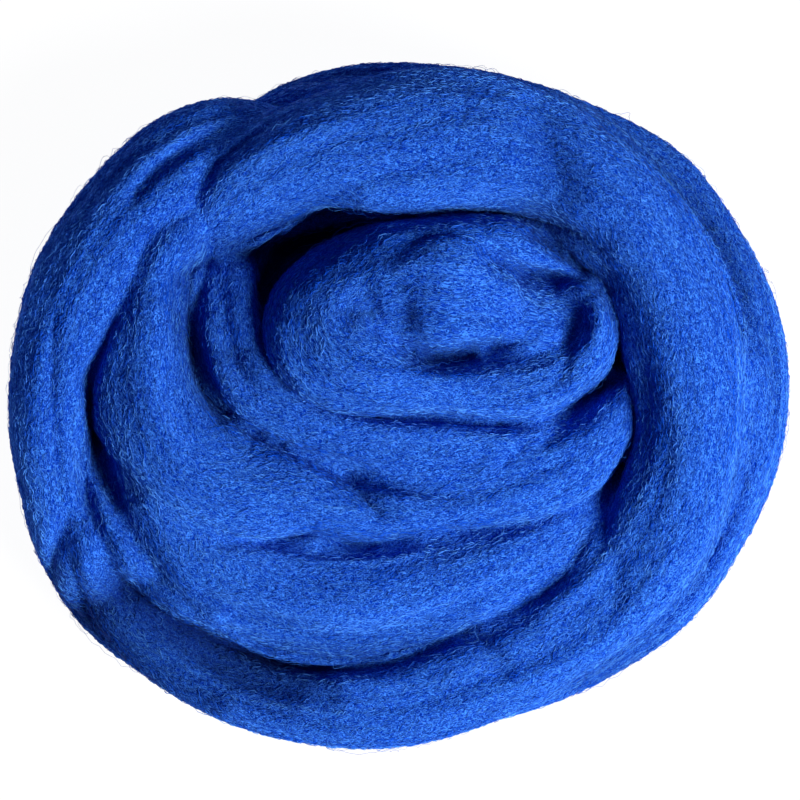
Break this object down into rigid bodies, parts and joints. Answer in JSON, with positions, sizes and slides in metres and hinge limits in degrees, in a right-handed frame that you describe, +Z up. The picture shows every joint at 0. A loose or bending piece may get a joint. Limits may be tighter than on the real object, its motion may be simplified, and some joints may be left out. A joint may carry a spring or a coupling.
{
  "type": "wool roving",
  "caption": "Soft strand of combed, unspun wool, wound round and over itself into a loose, flattened nest with a curled crown and its ends tucked in.",
  "frame": {"origin": "middle of the face that the nest rests on", "axes": "+X to the right and +Y to the top of the nest as seen from above, +Z up"},
  "size_m": [0.1899, 0.1663, 0.066],
  "materials": {
    "wool": "matt, soft, fine crimped fibres lying along the strand"
  },
  "bodies": {
    "root": {"roving": "wool"}
  },
  "joints": []
}
